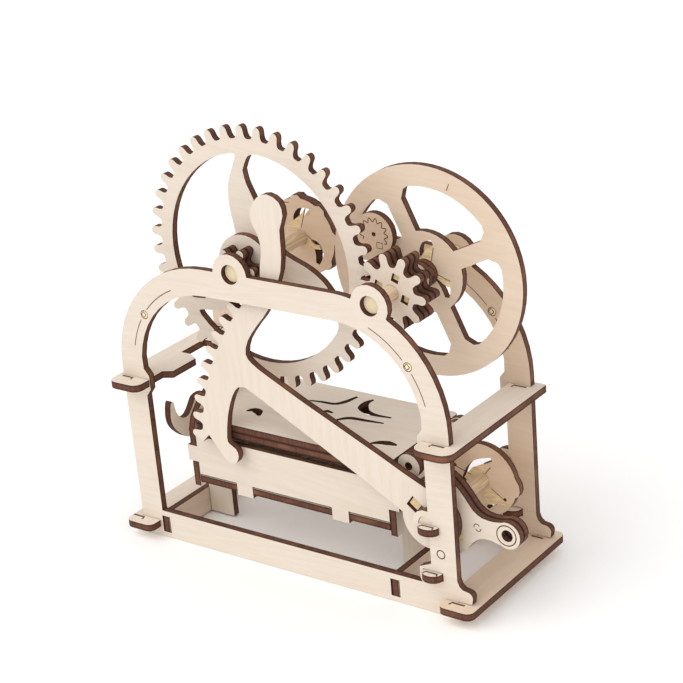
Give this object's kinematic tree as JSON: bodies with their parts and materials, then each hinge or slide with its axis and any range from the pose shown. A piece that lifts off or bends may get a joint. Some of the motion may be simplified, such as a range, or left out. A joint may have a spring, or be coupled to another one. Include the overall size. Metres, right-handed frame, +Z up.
{
  "type": "mechanical jigsaw model",
  "caption": "Wooden 3-D jigsaw model: an arched plywood stand with a flywheel, a spur gear train, a toothed sector lever and a small box with a hinged lid.",
  "frame": {"origin": "middle of the object's ground outline, at the floor", "axes": "+X along the long side towards the crank arm, +Y from the front frame to the back frame, +Z up"},
  "size_m": [0.185, 0.0736, 0.1779],
  "materials": {
    "stand_plywood": "laser-cut, unfinished, dark scorched cut edges",
    "gear_plywood": "laser-cut, unfinished, dark scorched cut edges",
    "flywheel_plywood": "laser-cut, unfinished, dark scorched cut edges",
    "lever_plywood": "laser-cut, unfinished, dark scorched cut edges",
    "box_plywood": "laser-cut, unfinished, dark scorched cut edges",
    "lid_plywood": "laser-cut, unfinished, dark scorched cut edges",
    "birch_rod": "turned, unfinished"
  },
  "bodies": {
    "stand": {"front_frame": "stand_plywood", "back_frame": "stand_plywood", "base_plate_left": "stand_plywood", "base_plate_right": "stand_plywood", "shelf_left": "stand_plywood", "shelf_right": "stand_plywood", "crossbar_left": "stand_plywood", "crossbar_right": "stand_plywood", "guide_left": "stand_plywood", "guide_right": "stand_plywood", "foot_key_front": "stand_plywood", "foot_key_back": "stand_plywood", "peg_front_left": "birch_rod", "peg_front_right": "birch_rod", "peg_back_left": "birch_rod", "peg_back_right": "birch_rod"},
    "gear_train": {"gear_shaft": "birch_rod", "big_gear": "gear_plywood", "small_pinion_1": "gear_plywood", "small_pinion_2": "gear_plywood", "pinion_disc": "gear_plywood", "gear_drum": "gear_plywood"},
    "flywheel": {"flywheel_shaft": "birch_rod", "flywheel": "flywheel_plywood", "drive_pinion_1": "flywheel_plywood", "drive_pinion_2": "flywheel_plywood", "drive_pinion_3": "flywheel_plywood", "flywheel_collar": "flywheel_plywood", "flywheel_knob": "flywheel_plywood"},
    "lever": {"sector_lever": "lever_plywood", "lever_axle": "birch_rod", "axle_key_front": "lever_plywood", "axle_key_back": "lever_plywood", "crank_arm_1": "lever_plywood", "crank_arm_2": "lever_plywood", "rear_disc": "lever_plywood"},
    "box": {"box_front": "box_plywood", "box_back": "box_plywood", "box_left": "box_plywood", "box_right": "box_plywood", "box_floor": "box_plywood", "box_hook": "box_plywood", "hook_stem": "box_plywood", "hinge_cheek_front": "box_plywood", "hinge_cheek_back": "box_plywood", "hinge_rod": "birch_rod"},
    "lid": {"lid_top": "lid_plywood", "lid_under": "lid_plywood", "lid_knuckle_front": "lid_plywood", "lid_knuckle_back": "lid_plywood"}
  },
  "joints": [
    {"name": "gear_spin", "type": "hinge", "parent": "stand", "child": "gear_train", "pos_m": [-0.0264, 0.002, 0.1244], "axis": [0, 1, 0], "range_deg": [-522, 0]},
    {"name": "flywheel_spin", "type": "hinge", "parent": "stand", "child": "flywheel", "pos_m": [0.0378, 0.002, 0.12187], "axis": [0, 1, 0], "range_deg": [0, 2088.5]},
    {"name": "lever_swing", "type": "hinge", "parent": "stand", "child": "lever", "pos_m": [0.0556, 0.002, 0.03747], "axis": [0, 1, 0], "range_deg": [0, 36.01]},
    {"name": "box_slide", "type": "slide", "parent": "stand", "child": "box", "axis": [-1, 0, 0], "range_m": [0, 0.03]},
    {"name": "lid_hinge", "type": "hinge", "parent": "box", "child": "lid", "pos_m": [0.042, 0.002, 0.0534], "axis": [0, 1, 0], "range_deg": [0, 6.5]}
  ],
  "couplings": [
    {"joint": "flywheel_spin", "follows": "gear_spin", "ratio": -4},
    {"joint": "lever_swing", "follows": "gear_spin", "ratio": -0.068966}
  ]
}
